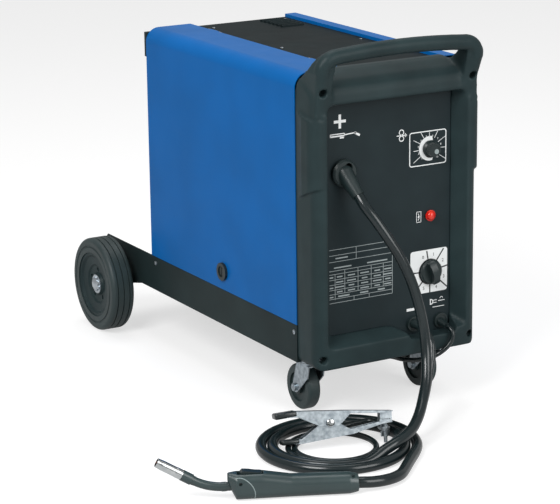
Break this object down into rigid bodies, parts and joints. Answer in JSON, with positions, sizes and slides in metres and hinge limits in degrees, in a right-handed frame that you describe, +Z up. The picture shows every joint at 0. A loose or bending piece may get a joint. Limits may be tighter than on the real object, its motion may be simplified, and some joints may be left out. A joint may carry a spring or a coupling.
{
  "type": "mig welder on cart",
  "caption": "Wheeled MIG welder: steel case with a moulded front and handle, wire feeder behind a side door, torch, earth clamp, mains lead and a rear cylinder platform.",
  "frame": {"origin": "on the floor under the middle of the machine, leads left out", "axes": "+X to the right seen from the front, +Y to the rear (the gas cylinder's end), +Z up"},
  "size_m": [0.7656, 1.1042, 0.648],
  "materials": {
    "blue_paint": "powder coat, fine texture",
    "dark_moulding": "fine-textured structural foam",
    "panel_plastic": "smooth satin sheet with white prints",
    "dark_paint": "powder coat, fine texture",
    "black_plastic": "satin moulded",
    "cable_rubber": "smooth sheath",
    "tyre_rubber": "solid rubber",
    "zinc_steel": "zinc plated",
    "motor_steel": "enamel",
    "laminated_iron": "varnished laminations",
    "cast_aluminium": "as cast and machined",
    "copper": "bright copper",
    "brass": "machined",
    "nickel_plate": "nickel plated",
    "red_plastic": "clear-coloured moulding"
  },
  "bodies": {
    "chassis": {"base_tray": "dark_paint", "front_bezel": "dark_moulding", "control_panel": "panel_plastic", "top_cover": "dark_paint", "right_side_panel": "blue_paint", "rear_panel": "dark_paint", "centre_partition": "dark_paint", "bottle_bracket": "dark_paint", "door_hinges": "zinc_steel", "rear_axle": "zinc_steel", "axle_caps": "zinc_steel", "caster_plates": "zinc_steel", "torch_gland": "black_plastic", "cable_glands": "black_plastic", "thermal_lamp": "red_plastic", "case_screws": "zinc_steel", "transformer_core": "laminated_iron", "transformer_windings": "copper", "rectifier_stack": "cast_aluminium", "panel_electrics": "black_plastic", "fan_motor": "motor_steel", "feed_motor": "motor_steel", "feed_plate": "cast_aluminium", "spool_spindle": "cast_aluminium", "gas_fitting": "brass", "torch_cable": "cable_rubber", "torch_coil": "cable_rubber", "torch_handle": "black_plastic", "torch_neck": "black_plastic", "gas_nozzle": "nickel_plate", "contact_tip": "copper", "earth_cable": "cable_rubber", "earth_coil": "cable_rubber", "clamp_lower_jaw": "zinc_steel", "clamp_spring": "zinc_steel", "mains_cord": "cable_rubber", "mains_coil": "cable_rubber", "mains_plug": "black_plastic"},
    "door": {"side_door": "blue_paint"},
    "latch": {"door_latch": "black_plastic"},
    "speed_knob": {"wire_speed_knob": "black_plastic"},
    "switch_knob": {"power_switch_knob": "black_plastic"},
    "trigger": {"torch_trigger": "black_plastic"},
    "clamp_jaw": {"clamp_upper_jaw": "zinc_steel"},
    "left_wheel": {"left_wheel_rim": "black_plastic", "left_tyre": "tyre_rubber"},
    "right_wheel": {"right_wheel_rim": "black_plastic", "right_tyre": "tyre_rubber"},
    "left_fork": {"left_caster_fork": "zinc_steel"},
    "right_fork": {"right_caster_fork": "zinc_steel"},
    "left_caster": {"left_caster_wheel": "tyre_rubber"},
    "right_caster": {"right_caster_wheel": "tyre_rubber"},
    "spool": {"wire_spool": "black_plastic", "spool_wire": "copper"},
    "feed_roll": {"drive_roll": "zinc_steel"},
    "feed_arm": {"pressure_arm": "black_plastic"},
    "idle_roll": {"pressure_roll": "zinc_steel"},
    "tension_screw": {"tension_knob": "red_plastic"},
    "fan": {"fan_blades": "black_plastic"}
  },
  "joints": [
    {"name": "door_swing", "type": "hinge", "parent": "chassis", "child": "door", "pos_m": [-0.066, -0.065, 0.5914], "axis": [0, 1, 0], "range_deg": [0, 80]},
    {"name": "latch_turn", "type": "hinge", "parent": "door", "child": "latch", "pos_m": [-0.161, -0.077, 0.201], "axis": [-1, 0, 0], "range_deg": [0, 90]},
    {"name": "speed_knob_turn", "type": "hinge", "parent": "chassis", "child": "speed_knob", "pos_m": [0.08, -0.37, 0.448], "axis": [0, -1, 0], "range_deg": [-135, 135]},
    {"name": "switch_turn", "type": "hinge", "parent": "chassis", "child": "switch_knob", "pos_m": [0.082, -0.37, 0.233], "axis": [0, -1, 0], "range_deg": [-90, 90]},
    {"name": "trigger_squeeze", "type": "hinge", "parent": "chassis", "child": "trigger", "pos_m": [-0.38839, -0.60699, 0.04], "axis": [-0.4067, -0.9135, 0], "range_deg": [0, 6], "stiffness_Nm_per_rad": 0.5, "springref_deg": -11.46},
    {"name": "clamp_open", "type": "hinge", "parent": "chassis", "child": "clamp_jaw", "pos_m": [-0.183, -0.469, 0.0415], "axis": [-0.2759, -0.9257, 0.2587], "range_deg": [0, 18], "stiffness_Nm_per_rad": 3, "springref_deg": -22.92},
    {"name": "left_wheel_spin", "type": "hinge", "parent": "chassis", "child": "left_wheel", "pos_m": [-0.202, 0.329, 0.089], "axis": [1, 0, 0], "continuous": true},
    {"name": "right_wheel_spin", "type": "hinge", "parent": "chassis", "child": "right_wheel", "pos_m": [0.202, 0.329, 0.089], "axis": [1, 0, 0], "continuous": true},
    {"name": "left_caster_swivel", "type": "hinge", "parent": "chassis", "child": "left_fork", "pos_m": [-0.119, -0.306, 0.088], "axis": [0, 0, 1], "continuous": true},
    {"name": "right_caster_swivel", "type": "hinge", "parent": "chassis", "child": "right_fork", "pos_m": [0.119, -0.306, 0.088], "axis": [0, 0, 1], "continuous": true},
    {"name": "left_caster_spin", "type": "hinge", "parent": "left_fork", "child": "left_caster", "pos_m": [-0.119, -0.281, 0.04], "axis": [1, 0, 0], "continuous": true},
    {"name": "right_caster_spin", "type": "hinge", "parent": "right_fork", "child": "right_caster", "pos_m": [0.119, -0.281, 0.04], "axis": [1, 0, 0], "continuous": true},
    {"name": "spool_spin", "type": "hinge", "parent": "chassis", "child": "spool", "pos_m": [-0.115, 0.03, 0.33], "axis": [1, 0, 0], "continuous": true},
    {"name": "drive_roll_spin", "type": "hinge", "parent": "chassis", "child": "feed_roll", "pos_m": [-0.091, -0.19, 0.4124], "axis": [1, 0, 0], "continuous": true},
    {"name": "pressure_arm_lift", "type": "hinge", "parent": "chassis", "child": "feed_arm", "pos_m": [-0.091, -0.158, 0.442], "axis": [-1, 0, 0], "range_deg": [0, 40]},
    {"name": "pressure_roll_spin", "type": "hinge", "parent": "feed_arm", "child": "idle_roll", "pos_m": [-0.091, -0.19, 0.4406], "axis": [1, 0, 0], "continuous": true},
    {"name": "tension_knob_turn", "type": "hinge", "parent": "feed_arm", "child": "tension_screw", "pos_m": [-0.091, -0.217, 0.455], "axis": [0, 0, 1], "range_deg": [-540, 540]},
    {"name": "fan_spin", "type": "hinge", "parent": "chassis", "child": "fan", "pos_m": [0.048, 0.15, 0.4], "axis": [0, 1, 0], "continuous": true}
  ],
  "couplings": [
    {"joint": "drive_roll_spin", "follows": "spool_spin", "ratio": 5.4667},
    {"joint": "pressure_roll_spin", "follows": "spool_spin", "ratio": -6.8333}
  ]
}
